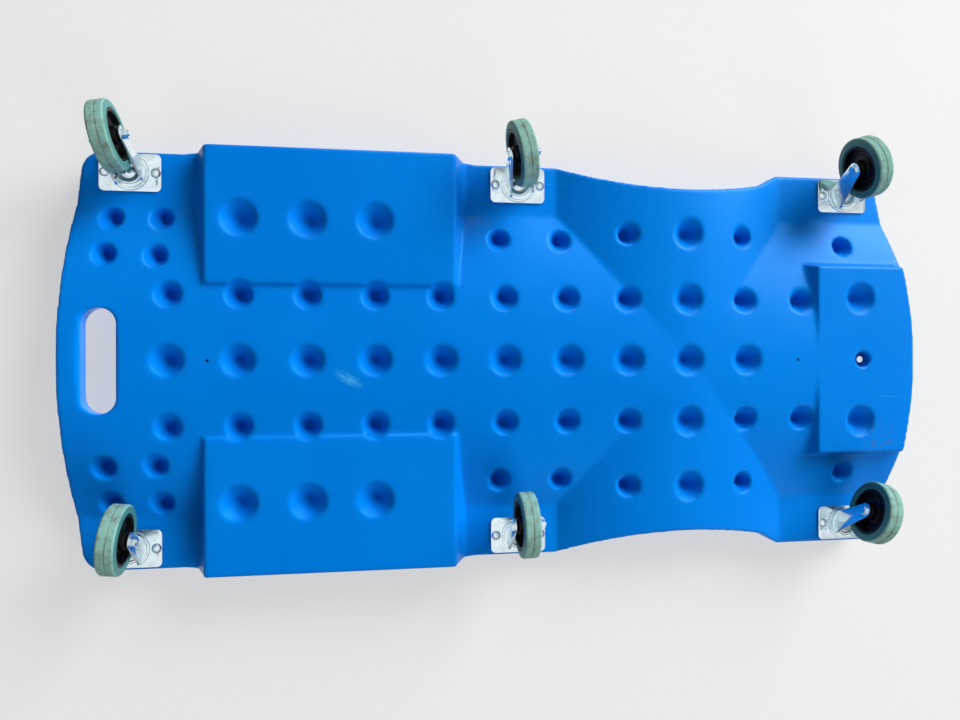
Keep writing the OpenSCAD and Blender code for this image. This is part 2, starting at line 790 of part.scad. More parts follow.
module king_pin(c) {
    head_z = crown_low_z - lay_gap - king_head_h;
    dome_r = chord_r(king_head_d / 2, king_head_h);
    color("#c9ced2") at_caster(c) {
        translate([0, 0, head_z + king_head_h / 2])
            cylinder(d = king_d, h = pad_z - 2 * run_gap - head_z - king_head_h / 2);
        intersection() {
            translate([0, 0, head_z]) cylinder(d = king_head_d, h = king_head_h);
            translate([0, 0, head_z + dome_r]) sphere(dome_r);
        }
        translate([0, 0, pad_z - rivet_h + 2 * run_gap])
            cylinder(d1 = king_d, d2 = king_d + 2 * rivet_flare - 2 * hole_gap, h = rivet_h - 4 * run_gap);
    }
}

// Where the tangent from point p touches a circle, on the side that way gives
function tangent(p, c, r, way) =
    let (v = p - c, d = norm(v), turn = way * acos(r / d), a = atan2(v[1], v[0]) + turn)
    c + r * [cos(a), sin(a)];

// A leg seen from the side, from its rounded shoulders down to its round end
module fork_side_profile() {
    axle = [trail, wheel_r];
    shoulder_z = crown_z - leg_corner;
    back = [-leg_w / 2, shoulder_z];
    front = [leg_w / 2, shoulder_z];
    r = leg_end_d / 2;
    polygon([
        [-leg_w / 2 + leg_corner, shoulder_z], back, tangent(back, axle, r, 1), axle,
        tangent(front, axle, r, -1), front, [leg_w / 2 - leg_corner, shoulder_z],
    ]);
    translate(axle) circle(r);
    translate([-leg_w / 2 + leg_corner, shoulder_z - cut])
        square([leg_w - 2 * leg_corner, leg_corner + cut]);
    for (x = [-1, 1]) translate([x * (leg_w / 2 - leg_corner), shoulder_z]) circle(leg_corner);
}

// The fork seen from the front, with its two bends
module fork_front_profile() {
    translate([-fork_out, 0]) square([2 * fork_out, crown_z - bend_r]);
    translate([-fork_out + bend_r, 0]) square([2 * (fork_out - bend_r), crown_z]);
    for (y = [-1, 1]) translate([y * (fork_out - bend_r), crown_z - bend_r]) circle(bend_r);
}

// The bent sheet: two legs and the round crown between them
module fork_sheet() {
    intersection() {
        translate([0, fork_out + cut, 0]) rotate([90, 0, 0])
            linear_extrude(2 * (fork_out + cut)) fork_side_profile();
        translate([-leg_w, 0, 0]) rotate([90, 0, 90])
            linear_extrude(2 * leg_w + trail) fork_front_profile();
    }
    translate([0, 0, crown_low_z]) cylinder(d = crown_d, h = crown_t);
}

// The ring that the balls' groove makes on the crown's underside
module crown_ring() {
    r = (crown_ring_h + crown_t) / 2 - run_gap;
    translate([0, 0, crown_low_z - crown_ring_h + r]) rotate_extrude()
        translate([ball_ring_d / 2, 0]) circle(r);
}

module fork(c) {
    color("#cfd8de") trailing(c) difference() {
        union() {
            difference() {
                fork_sheet();
                translate([-2 * trail, -fork_in, 0]) cube([4 * trail, 2 * fork_in, crown_low_z]);
            }
            crown_ring();
        }
        race_groove();
        translate([0, 0, crown_low_z - 2 * cut]) cylinder(d = king_d + 2 * run_gap, h = crown_t + 3 * cut);
        on_axle() cylinder(d = axle_d + 2 * run_gap, h = 2 * fork_out + 2 * cut, center = true);
    }
}

module axle_bolt(c) {
    end = fork_out + nut_h + thread_out;
    color("silver") trailing(c) on_axle() {
        translate([0, 0, -end]) cylinder(d = axle_d, h = end + fork_out + hex_h / 4);
        translate([0, 0, fork_out]) cylinder(d = hex_af / cos(30), h = hex_h, $fn = 6);
    }
}

module axle_nut(c) {
    color("silver") trailing(c) on_axle() translate([0, 0, -fork_out - nut_h]) difference() {
        cylinder(d = hex_af / cos(30), h = nut_h, $fn = 6);
        translate([0, 0, -cut]) cylinder(d = axle_d + 2 * run_gap, h = nut_h + 2 * cut);
    }
}

module hub(c) {
    in_r = hub_d / 2 - hub_rim;
    boss_r = hub_boss_d / 2;
    color("#17181a") trailing(c) on_axle() difference() {
        rotate_extrude() {
            translate([0, -hub_l / 2]) square([boss_r, hub_l]);
            translate([0, -hub_web / 2]) square([hub_d / 2, hub_web]);
            translate([in_r, -wheel_w / 2]) square([hub_rim, wheel_w]);
            translate([in_r, -tongue_w / 2]) square([hub_rim + tongue_h, tongue_w]);
        }
        cylinder(d = axle_d + 2 * run_gap, h = hub_l + 2 * cut, center = true);
    }
}

module tyre(c) {
    in_r = hub_d / 2 + run_gap;
    r = shoulder_r;
    color("#8fb3a5") trailing(c) on_axle() rotate_extrude() difference() {
        union() {
            translate([in_r, -wheel_w / 2]) square([wheel_r - in_r - r, wheel_w]);
            translate([in_r, -wheel_w / 2 + r]) square([wheel_r - in_r, wheel_w - 2 * r]);
            for (s = [-1, 1]) translate([wheel_r - r, s * (wheel_w / 2 - r)]) circle(r, $fn = 48);
        }
        translate([0, -tongue_w / 2 - run_gap])
            square([hub_d / 2 + tongue_h + run_gap, tongue_w + 2 * run_gap]);
        for (s = [-1, 1]) translate([wheel_r, s * groove_gap / 2]) circle(groove_r, $fn = 24);
    }
}

// ---------------------------------------------------------------- assembly

deck();
caster_bolts();
sleeve_nuts();
headrest_cover();
headrest_foam();
headrest_board();
headrest_bolt();
headrest_washer();
headrest_tee_nut();
for (c = CASTERS) {
    plate(c);
    swivel_balls(c);
    king_pin(c);
    fork(c);
    axle_bolt(c);
    axle_nut(c);
    hub(c);
    tyre(c);
}
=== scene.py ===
"""Mechanics creeper: a blow moulded deck on six swivel casters, with a padded headrest."""

import math

import bpy
from mathutils import Matrix, Vector


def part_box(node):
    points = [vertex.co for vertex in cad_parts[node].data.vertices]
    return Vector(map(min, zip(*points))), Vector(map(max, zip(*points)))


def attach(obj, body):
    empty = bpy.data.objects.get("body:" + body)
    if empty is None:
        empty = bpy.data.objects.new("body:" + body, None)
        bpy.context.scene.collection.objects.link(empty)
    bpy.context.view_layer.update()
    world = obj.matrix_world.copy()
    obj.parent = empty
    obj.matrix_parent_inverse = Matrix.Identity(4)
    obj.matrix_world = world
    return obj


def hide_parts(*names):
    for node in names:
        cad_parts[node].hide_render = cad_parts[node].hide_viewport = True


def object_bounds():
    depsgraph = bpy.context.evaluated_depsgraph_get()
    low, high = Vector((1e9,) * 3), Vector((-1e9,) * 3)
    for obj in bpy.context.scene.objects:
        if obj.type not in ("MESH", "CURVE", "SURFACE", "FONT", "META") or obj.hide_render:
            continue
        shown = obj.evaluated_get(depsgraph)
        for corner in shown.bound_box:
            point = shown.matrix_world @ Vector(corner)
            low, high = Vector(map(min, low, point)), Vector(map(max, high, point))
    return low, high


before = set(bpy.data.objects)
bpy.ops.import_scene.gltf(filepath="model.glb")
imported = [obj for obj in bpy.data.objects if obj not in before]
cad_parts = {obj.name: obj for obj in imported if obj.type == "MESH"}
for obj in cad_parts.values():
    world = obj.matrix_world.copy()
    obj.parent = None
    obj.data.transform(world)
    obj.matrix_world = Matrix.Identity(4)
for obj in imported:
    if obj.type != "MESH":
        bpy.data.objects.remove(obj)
CAD_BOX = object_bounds()
DECK_LOW, DECK_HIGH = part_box("deck")
MIDDLE_Y = (DECK_LOW.y + DECK_HIGH.y) / 2

bl_info = {
    "name": "Mechanics creeper",
    "version": (1, 0, 0),
    "blender": (4, 5, 0),
    "location": "View3D > Sidebar > Creeper",
    "description": "Builds the finished look of a mechanics creeper over its frame",
    "category": "Object",
}

CASTERS = ("foot_left", "foot_right", "mid_left", "mid_right", "head_left", "head_right")

# How many faces go round each turned piece
TYRE_STEPS = 112
HUB_STEPS = 72
BOLT_STEPS = 40

# Where the two vents pierce the deck's lower skin, and where it is scuffed and stained
VENT_PLACES = ((-0.3568, MIDDLE_Y), (0.3534, MIDDLE_Y))
SCUFF_PLACE = (-0.2024, MIDDLE_Y + 0.0214, DECK_LOW.z)
SCUFF_TURN = (0, 0, math.radians(30))
SCUFF_SIZE = (0.016, 0.006, 0.02)
STAIN_PLACE = (0.466, MIDDLE_Y + 0.100, DECK_LOW.z)

# The cushion: the height of its held hem, the frames it fills for, the gap between its skin
# and its core, and how far off the core the skin is still moved
HELD_HEIGHT = 0.004
FILL_FRAMES = 20
SKIN_GAP = 0.0011
CORE_REACH = 0.02

# Each lamp's name, place, power in watts and side
KEY_BELOW = ((3.1, -2.9, -2.1), 380, 3.0)
SOFT_LAMPS = (
    ("key_below", *KEY_BELOW),
    ("side_below", (1.9, 3.1, -2.0), 84, 2.8),
    ("fill_below", (-2.8, 0.6, -2.2), 16, 3.0),
    ("key_above", (0.9, -1.7, 3.0), 165, 3.0),
    ("fill_above", (-1.8, 1.6, 2.6), 45, 3.0),
)
# The lamps that only glint on the deck, so that they don't wash out the bare metal
SHEEN_LAMPS = (
    ("sheen_below", *KEY_BELOW),
    ("sheen_side", (0.6, -3.6, -0.7), 120, 2.0),
)

# The floor and the backdrop: the gap over the object, their side, and how much light they
# take and give
BACKDROP_GAP = 0.0006
SHEET_SIZE = 60
SHEET_SHARE = 0.35
SHEET_GLOW = 0.62

# The room: its colour, how bright it is to the camera, and what bright metal mirrors of it
ROOM_COLOUR = (0.97, 0.98, 1.0, 1.0)
ROOM_SEEN = 0.84
ROOM_MIRRORED = 1.0
DARK_MIRROR_SHARE = 1.5


# ------------------------------------------------------------------ settings


class CreeperDeckSettings(bpy.types.PropertyGroup):
    colour: bpy.props.FloatVectorProperty(
        name="Deck colour", description="Colour of the moulded plastic",
        subtype="COLOR", size=3, min=0, max=1, default=(0.0, 0.193, 0.70),
    )
    deep_colour: bpy.props.FloatVectorProperty(
        name="Deep colour", description="Colour of the plastic where it mottles darker",
        subtype="COLOR", size=3, min=0, max=1, default=(0.0, 0.173, 0.65),
    )
    scuff_colour: bpy.props.FloatVectorProperty(
        name="Scuff colour", description="Colour of pale scratches in the plastic",
        subtype="COLOR", size=3, min=0, max=1, default=(0.07, 0.47, 0.80),
    )
    grime_colour: bpy.props.FloatVectorProperty(
        name="Grime colour", description="Colour of the brown stains",
        subtype="COLOR", size=3, min=0, max=1, default=(0.09, 0.05, 0.03),
    )
    voxel: bpy.props.FloatProperty(
        name="Mesh step", description="Edge length of the deck's remeshed skin",
        subtype="DISTANCE", unit="LENGTH", default=0.002, min=0.001, max=0.01,
    )
    soften: bpy.props.IntProperty(
        name="Softening", description="How many times the moulded edges are smoothed",
        default=10, min=0, max=40,
    )
    kept_faces: bpy.props.FloatProperty(
        name="Kept faces", description="Share of the skin's faces that is kept",
        subtype="FACTOR", default=0.28, min=0.05, max=1.0,
    )
    vent: bpy.props.FloatProperty(
        name="Vent", description="Diameter of the two vent holes",
        subtype="DISTANCE", unit="LENGTH", default=0.0036, min=0.001, max=0.006,
    )


class CreeperHeadrestSettings(bpy.types.PropertyGroup):
    colour: bpy.props.FloatVectorProperty(
        name="Vinyl colour", description="Colour of the headrest's vinyl",
        subtype="COLOR", size=3, min=0, max=1, default=(0.012, 0.012, 0.013),
    )
    pressure: bpy.props.FloatProperty(
        name="Stuffing", description="Pressure that fills the cushion out",
        default=4.0, min=0, max=20,
    )
    swell: bpy.props.FloatProperty(
        name="Largest swell", description="How far a point of the cushion may move as it fills",
        subtype="DISTANCE", unit="LENGTH", default=0.006, min=0.0, max=0.03,
    )
    start_inset: bpy.props.FloatProperty(
        name="Start inset", description="How much smaller the cushion starts on each side",
        subtype="DISTANCE", unit="LENGTH", default=0.0006, min=0.0, max=0.02,
    )
    corner: bpy.props.FloatProperty(
        name="Corner", description="Rounding of the cushion's upright corners",
        subtype="DISTANCE", unit="LENGTH", default=0.012, min=0.002, max=0.02,
    )
    brow: bpy.props.FloatProperty(
        name="Brow", description="Rounding of the cushion's upper edge",
        subtype="DISTANCE", unit="LENGTH", default=0.008, min=0.002, max=0.015,
    )
    voxel: bpy.props.FloatProperty(
        name="Mesh step", description="Edge length of the cushion's remeshed skin",
        subtype="DISTANCE", unit="LENGTH", default=0.0035, min=0.002, max=0.01,
    )


class CreeperCasterSettings(bpy.types.PropertyGroup):
    zinc_colour: bpy.props.FloatVectorProperty(
        name="Zinc colour", description="Colour of the zinc plated steel",
        subtype="COLOR", size=3, min=0, max=1, default=(0.80, 0.93, 0.97),
    )
    hub_colour: bpy.props.FloatVectorProperty(
        name="Hub colour", description="Colour of the wheel hubs",
        subtype="COLOR", size=3, min=0, max=1, default=(0.0025, 0.0025, 0.003),
    )
    rubber_colour: bpy.props.FloatVectorProperty(
        name="Rubber colour", description="Colour of the tyres' sidewalls",
        subtype="COLOR", size=3, min=0, max=1, default=(0.045, 0.19, 0.175),
    )
    tread_colour: bpy.props.FloatVectorProperty(
        name="Tread colour", description="Colour of the tyres' worn running surface",
        subtype="COLOR", size=3, min=0, max=1, default=(0.22, 0.43, 0.38),
    )
    tyre_width: bpy.props.FloatProperty(
        name="Tyre width", description="Width of a tyre",
        subtype="DISTANCE", unit="LENGTH", default=0.020, min=0.010, max=0.030,
    )
    tyre_bore: bpy.props.FloatProperty(
        name="Tyre bore", description="Diameter of the hub inside the tyre",
        subtype="DISTANCE", unit="LENGTH", default=0.0556, min=0.040, max=0.060,
    )
    shoulder: bpy.props.FloatProperty(
        name="Shoulder", description="Rounding of a tyre's shoulders",
        subtype="DISTANCE", unit="LENGTH", default=0.0028, min=0.001, max=0.006,
    )
    hub_length: bpy.props.FloatProperty(
        name="Hub length", description="Length of a hub's boss",
        subtype="DISTANCE", unit="LENGTH", default=0.024, min=0.015, max=0.030,
    )
    hub_boss: bpy.props.FloatProperty(
        name="Hub boss", description="Diameter of a hub's boss",
        subtype="DISTANCE", unit="LENGTH", default=0.019, min=0.012, max=0.024,
    )
    axle: bpy.props.FloatProperty(
        name="Axle", description="Diameter of a wheel's axle",
        subtype="DISTANCE", unit="LENGTH", default=0.0062, min=0.004, max=0.010,
    )
    cap: bpy.props.FloatProperty(
        name="Cap", description="Diameter of the round cap of the headrest's bolt",
        subtype="DISTANCE", unit="LENGTH", default=0.0088, min=0.006, max=0.010,
    )
    thread: bpy.props.FloatProperty(
        name="Thread", description="Diameter of the thread of the headrest's bolt",
        subtype="DISTANCE", unit="LENGTH", default=0.0059, min=0.004, max=0.006,
    )
    cap_height: bpy.props.FloatProperty(
        name="Cap height", description="How far the headrest bolt's round cap stands out of its head",
        subtype="DISTANCE", unit="LENGTH", default=0.0085, min=0.001, max=0.012,
    )
    edge: bpy.props.FloatProperty(
        name="Sheet edge", description="Rounding of the edges of the pressed sheet",
        subtype="DISTANCE", unit="LENGTH", default=0.0005, min=0.0001, max=0.001,
    )


class CreeperStageSettings(bpy.types.PropertyGroup):
    camera_place: bpy.props.FloatVectorProperty(
        name="Camera place", description="Where the camera stands",
        subtype="TRANSLATION", unit="LENGTH", size=3, default=(-0.1742, MIDDLE_Y - 0.001, -0.7758),
    )
    camera_turn: bpy.props.FloatVectorProperty(
        name="Camera turn", description="How the camera is turned",
        subtype="EULER", unit="ROTATION", size=3,
        default=(math.radians(179.9597), math.radians(8.4226), math.radians(0.1158)),
    )
    lens: bpy.props.FloatProperty(
        name="Lens", description="Focal length of the camera in millimetres",
        default=27.0, min=10.0, max=200.0,
    )
    room_light: bpy.props.FloatProperty(
        name="Room light", description="How much light comes from all round",
        default=0.12, min=0.0, max=1.0,
    )
    floor_colour: bpy.props.FloatVectorProperty(
        name="Floor colour", description="Colour of the plain floor and backdrop",
        subtype="COLOR", size=3, min=0, max=1, default=(0.84, 0.84, 0.83),
    )


# ------------------------------------------------------------------ modelling helps


def pick(piece):
    """Leaves one piece selected and active."""
    bpy.ops.object.select_all(action="DESELECT")
    piece.select_set(True)
    bpy.context.view_layer.objects.active = piece


def copy_of(node, name):
    """A merged copy of a node's mesh, as a new piece."""
    piece = bpy.data.objects.new(name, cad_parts[node].data.copy())
    piece.data.materials.clear()
    bpy.context.scene.collection.objects.link(piece)
    pick(piece)
    bpy.ops.object.mode_set(mode="EDIT")
    bpy.ops.mesh.select_all(action="SELECT")
    bpy.ops.mesh.remove_doubles(threshold=1e-6)
    bpy.ops.object.mode_set(mode="OBJECT")
    return piece


def finish_with(piece, kind, **settings):
    """Adds a modifier and applies it."""
    modifier = piece.modifiers.new(kind.title(), kind)
    for key, value in settings.items():
        setattr(modifier, key, value)
    pick(piece)
    bpy.ops.object.modifier_apply(modifier=modifier.name)


def turned(name, profile, steps):
    """Turns a profile of (radius, height) places once round the Z axis."""
    bpy.ops.object.select_all(action="DESELECT")
    bpy.ops.mesh.primitive_plane_add(size=0.001, location=(0, 0, 0))
    piece = bpy.context.object
    piece.name = name
    bpy.ops.object.mode_set(mode="EDIT")
    bpy.ops.mesh.select_mode(type="VERT")
    bpy.ops.mesh.select_all(action="SELECT")
    bpy.ops.mesh.merge(type="CENTER")
    bpy.ops.transform.translate(value=(profile[0][0], 0, profile[0][1]))
    for before, after in zip(profile, profile[1:]):
        step = (after[0] - before[0], 0, after[1] - before[1])
        bpy.ops.mesh.extrude_region_move(TRANSFORM_OT_translate={"value": step})
    bpy.ops.mesh.select_all(action="SELECT")
    bpy.ops.mesh.spin(steps=steps, angle=math.tau, center=(0, 0, 0), axis=(0, 0, 1))
    bpy.ops.mesh.select_all(action="SELECT")
    bpy.ops.mesh.remove_doubles(threshold=2e-6)
    bpy.ops.mesh.normals_make_consistent(inside=False)
    bpy.ops.object.mode_set(mode="OBJECT")
    return piece


def rounded(places, radius, steps=5):
    """A profile whose inner corners are rounded, as far as its straight runs allow."""
    out = [places[0]]
    for before, corner, after in zip(places, places[1:], places[2:]):
        here = Vector(corner)
        back = Vector(before) - here
        ahead = Vector(after) - here
        reach = min(radius, back.length * 0.45, ahead.length * 0.45)
        start = here + back.normalized() * reach
        end = here + ahead.normalized() * reach
        for i in range(steps + 1):
            t = i / steps
            out.append(tuple(start * (1 - t) ** 2 + here * 2 * t * (1 - t) + end * t ** 2))
    out.append(places[-1])
    return out


def placed_copy(model, name, matrix):
    """A copy with its own mesh, whose place is in the mesh."""
    piece = bpy.data.objects.new(name, model.data.copy())
    bpy.context.scene.collection.objects.link(piece)
    piece.data.transform(matrix)
    return piece


def wheel_place(caster):
    """From a wheel modelled round Z to its place on the caster, and the wheel's radius."""
    low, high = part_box(f"{caster}_tyre")
    pin_low, pin_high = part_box(f"{caster}_king_pin")
    middle = (low + high) / 2
    away = middle - (pin_low + pin_high) / 2
    heading = math.atan2(away.y, away.x)
    turn = Matrix.Rotation(heading, 4, "Z") @ Matrix.Rotation(math.radians(90), 4, "X")
    return Matrix.Translation(middle) @ turn, (high.z - low.z) / 2


def wear(node_name, finish):
    """Gives a node of the frame its finish."""
    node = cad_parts[node_name]
    if not node.material_slots:
        node.data.materials.append(finish)
    for place in node.material_slots:
        place.material = finish


# ------------------------------------------------------------------ finishes


def new_finish(name):
    finish = bpy.data.materials.new(name)
    finish.use_nodes = True
    tree = finish.node_tree
    where = tree.nodes.new("ShaderNodeTexCoord")
    return finish, tree, tree.nodes["Principled BSDF"], where.outputs["Object"]


def put(tree, kind, inputs, **settings):
    """Adds a node: settings are its own, inputs are values or the sockets that feed it."""
    node = tree.nodes.new(kind)
    for key, value in settings.items():
        setattr(node, key, value)
    for key, value in inputs.items():
        if isinstance(value, bpy.types.NodeSocket):
            tree.links.new(value, node.inputs[key])
        else:
            node.inputs[key].default_value = value
    return node


def noise(tree, where, scale, detail=3.0, rough=0.5, stretch=None, turn=(0, 0, 0)):
    """A noise's strength, stretched along an axis where that is asked."""
    if stretch:
        where = put(
            tree, "ShaderNodeMapping", {"Vector": where, "Scale": stretch, "Rotation": turn},
        ).outputs["Vector"]
    return put(
        tree, "ShaderNodeTexNoise",
        {"Vector": where, "Scale": scale, "Detail": detail, "Roughness": rough},
    ).outputs["Fac"]


def band(tree, value, low, high, to_low=0.0, to_high=1.0):
    """A value stretched from one range to another, and held inside it."""
    return put(
        tree, "ShaderNodeMapRange",
        {"Value": value, "From Min": low, "From Max": high, "To Min": to_low, "To Max": to_high},
    ).outputs["Result"]


def times(tree, one, other):
    return put(tree, "ShaderNodeMath", {0: one, 1: other}, operation="MULTIPLY").outputs["Value"]


def largest(tree, one, other):
    return put(tree, "ShaderNodeMath", {0: one, 1: other}, operation="MAXIMUM").outputs["Value"]


def blend_colours(tree, share, one, other):
    node = tree.nodes.new("ShaderNodeMix")
    node.data_type = "RGBA"
    pairs = ((node.inputs[0], share), (node.inputs[6], one), (node.inputs[7], other))
    for socket, value in pairs:
        if isinstance(value, bpy.types.NodeSocket):
            tree.links.new(value, socket)
        elif isinstance(value, (int, float)):
            socket.default_value = value
        else:
            socket.default_value = (value[0], value[1], value[2], 1.0)
    return node.outputs[2]


def near(tree, where, centre, radius, soft):
    """One inside a ball round a place, falling to none outside it."""
    away = put(
        tree, "ShaderNodeVectorMath", {0: where, 1: centre}, operation="DISTANCE",
    ).outputs["Value"]
    return band(tree, away, radius + soft, radius - soft)


def relief(tree, shader, height, depth, strength=1.0, over=None):
    """Raises the surface by a height, and returns the new normal."""
    inputs = {"Height": height, "Distance": depth, "Strength": strength}
    if over is not None:
        inputs["Normal"] = over
    bump = put(tree, "ShaderNodeBump", inputs)
    tree.links.new(bump.outputs["Normal"], shader.inputs["Normal"])
    return bump.outputs["Normal"]


def moulded_plastic(settings):
    """Satin blue plastic with flow mottling, fine scratches, a scuffed patch and brown stains."""
    finish, tree, shader, where = new_finish("deck_plastic_worn")
    mottle = noise(tree, where, 5.0, 4.0, 0.55)
    colour = blend_colours(
        tree, band(tree, mottle, 0.35, 0.65), tuple(settings.deep_colour), tuple(settings.colour),
    )
    long_lines = noise(tree, where, 1.0, 1.0, 0.5, stretch=(14, 520, 14), turn=(0, 0, 0.6))
    cross_lines = noise(tree, where, 1.0, 1.0, 0.5, stretch=(480, 17, 17), turn=(0, 0, 0.3))
    lines = largest(
        tree, band(tree, long_lines, 0.74, 0.80), band(tree, cross_lines, 0.75, 0.81),
    )
    worn = band(tree, noise(tree, where, 7.0, 3.0), 0.45, 0.7)
    along = put(
        tree, "ShaderNodeMapping",
        {"Vector": where, "Location": SCUFF_PLACE, "Rotation": SCUFF_TURN, "Scale": SCUFF_SIZE},
        vector_type="TEXTURE",
    ).outputs["Vector"]
    patch = near(tree, along, (0, 0, 0), 0.75, 0.5)
    strokes = noise(tree, along, 1.0, 4.0, 0.6, stretch=(1.1, 4.5, 1.0))
    patch_marks = times(tree, times(tree, patch, band(tree, strokes, 0.40, 0.58)), 0.95)
    scuffs = largest(tree, times(tree, lines, band(tree, worn, 0, 1, 0.0, 0.3)), patch_marks)
    colour = blend_colours(tree, scuffs, colour, tuple(settings.scuff_colour))
    stain = near(tree, where, STAIN_PLACE, 0.006, 0.020)
    stain = times(tree, stain, band(tree, noise(tree, where, 150.0, 3.0, 0.5), 0.52, 0.62))
    colour = blend_colours(tree, times(tree, stain, 0.75), colour, tuple(settings.grime_colour))
    tree.links.new(colour, shader.inputs["Base Color"])
    gloss = band(tree, noise(tree, where, 22.0, 5.0, 0.6), 0.3, 0.7, 0.30, 0.42)
    tree.links.new(gloss, shader.inputs["Roughness"])
    shader.inputs["Specular IOR Level"].default_value = 0.25
    shader.inputs["Specular Tint"].default_value = (0.05, 0.42, 1.0, 1.0)
    skin = relief(tree, shader, noise(tree, where, 900.0, 2.0, 0.6), 0.00006, 0.35)
    skin = relief(tree, shader, noise(tree, where, 38.0, 2.0, 0.5), 0.0004, 0.35, over=skin)
    relief(tree, shader, lines, -0.00008, 0.6, over=skin)
    return finish


def zinc_plate(settings):
    """Bright passivated zinc: cloudy blue white crystals, small scratches and a few brown spots."""
    finish, tree, shader, where = new_finish("zinc_bright")
    cloud = noise(tree, where, 70.0, 4.0, 0.6)
    pale = tuple(settings.zinc_colour)
    deep = tuple(c * 0.86 for c in pale)
    colour = blend_colours(tree, band(tree, cloud, 0.35, 0.6), deep, pale)
    spots = band(tree, noise(tree, where, 190.0, 5.0, 0.75), 0.72, 0.80)
    spot_colour = (0.20, 0.13, 0.08)
    colour = blend_colours(tree, times(tree, spots, 0.35), colour, spot_colour)
    tree.links.new(colour, shader.inputs["Base Color"])
    shader.inputs["Metallic"].default_value = 1.0
    gloss = band(tree, noise(tree, where, 90.0, 4.0, 0.6), 0.3, 0.7, 0.17, 0.27)
    tree.links.new(largest(tree, gloss, times(tree, spots, 0.6)), shader.inputs["Roughness"])
    skin = relief(tree, shader, noise(tree, where, 60.0, 2.0, 0.5), 0.0003, 0.25)
    fine = noise(tree, where, 1.0, 3.0, 0.6, stretch=(60, 1100, 300))
    relief(tree, shader, fine, 0.00003, 0.25, over=skin)
    return finish


def bearing_steel():
    """Hardened steel with a film of grease."""
    finish, tree, shader, where = new_finish("bearing_steel_greased")
    grease = band(tree, noise(tree, where, 140.0, 4.0, 0.6), 0.42, 0.62)
    steel_colour = (0.62, 0.63, 0.64)
    grease_colour = (0.13, 0.10, 0.07)
    colour = blend_colours(tree, grease, steel_colour, grease_colour)
    tree.links.new(colour, shader.inputs["Base Color"])
    shader.inputs["Metallic"].default_value = 1.0
    tree.links.new(band(tree, grease, 0, 1, 0.16, 0.45), shader.inputs["Roughness"])
    relief(tree, shader, noise(tree, where, 300.0, 3.0), 0.0001, 0.2)
    return finish


def hub_plastic(settings):
    """Black plastic with a fine grain and some dust."""
    finish, tree, shader, where = new_finish("hub_plastic_black")
    dust = band(tree, noise(tree, where, 75.0, 5.0, 0.65), 0.55, 0.8)
    dust_colour = (0.05, 0.047, 0.043)
    colour = blend_colours(tree, times(tree, dust, 0.25), tuple(settings.hub_colour), dust_colour)
    tree.links.new(colour, shader.inputs["Base Color"])
    tree.links.new(band(tree, dust, 0, 1, 0.4, 0.55), shader.inputs["Roughness"])
    shader.inputs["Specular IOR Level"].default_value = 0.2
    relief(tree, shader, noise(tree, where, 500.0, 2.0), 0.00005, 0.4)
    return finish


def worn_rubber(settings):
    """Teal rubber: clean on the sidewalls, bleached and grimy on the running surface."""
    finish, tree, shader, where = new_finish("tyre_rubber_worn")
    side = tuple(settings.rubber_colour)
    tread = tuple(settings.tread_colour)
    grime_colour = (0.11, 0.115, 0.085)
    speck_colour = (0.42, 0.55, 0.48)
    line_colour = (0.12, 0.10, 0.06)
    run = put(tree, "ShaderNodeAttribute", {}, attribute_name="tread").outputs["Fac"]
    blotch = noise(tree, where, 60.0, 5.0, 0.65)
    edge = put(tree, "ShaderNodeMath", {0: run, 1: times(tree, blotch, 0.25)}, operation="ADD")
    worn = band(tree, edge.outputs["Value"], 0.45, 0.75)
    colour = blend_colours(tree, worn, side, tread)
    grime = band(tree, noise(tree, where, 95.0, 6.0, 0.75), 0.46, 0.68)
    grime = times(tree, times(tree, grime, worn), 0.7)
    colour = blend_colours(tree, grime, colour, grime_colour)
    specks = band(tree, noise(tree, where, 520.0, 3.0, 0.7), 0.6, 0.72)
    specks = times(tree, times(tree, specks, worn), 0.4)
    colour = blend_colours(tree, specks, colour, speck_colour)
    line = put(tree, "ShaderNodeAttribute", {}, attribute_name="track").outputs["Fac"]
    line = times(tree, band(tree, line, 0.4, 1.0), band(tree, noise(tree, where, 45.0, 4.0), 0.35, 0.6))
    colour = blend_colours(tree, times(tree, line, 0.55), colour, line_colour)
    tree.links.new(colour, shader.inputs["Base Color"])
    tree.links.new(band(tree, worn, 0, 1, 0.52, 0.82), shader.inputs["Roughness"])
    skin = relief(tree, shader, noise(tree, where, 420.0, 5.0, 0.7), 0.0003, 0.5)
    relief(tree, shader, noise(tree, where, 70.0, 3.0), 0.0006, 0.4, over=skin)
    return finish


def vinyl(settings):
    """Black grained vinyl."""
    finish, tree, shader, where = new_finish("vinyl_black_grain")
    cells = put(
        tree, "ShaderNodeTexVoronoi", {"Vector": where, "Scale": 620.0, "Randomness": 1.0},
        feature="DISTANCE_TO_EDGE",
    ).outputs["Distance"]
    creases = band(tree, cells, 0.0, 0.12)
    dust = band(tree, noise(tree, where, 30.0, 4.0, 0.6), 0.45, 0.75)
    dust_colour = (0.045, 0.043, 0.04)
    colour = blend_colours(tree, times(tree, dust, 0.4), tuple(settings.colour), dust_colour)
    tree.links.new(colour, shader.inputs["Base Color"])
    tree.links.new(band(tree, dust, 0, 1, 0.40, 0.55), shader.inputs["Roughness"])
    skin = relief(tree, shader, creases, 0.00022, 0.55)
    relief(tree, shader, noise(tree, where, 60.0, 3.0), 0.0006, 0.3, over=skin)
    return finish


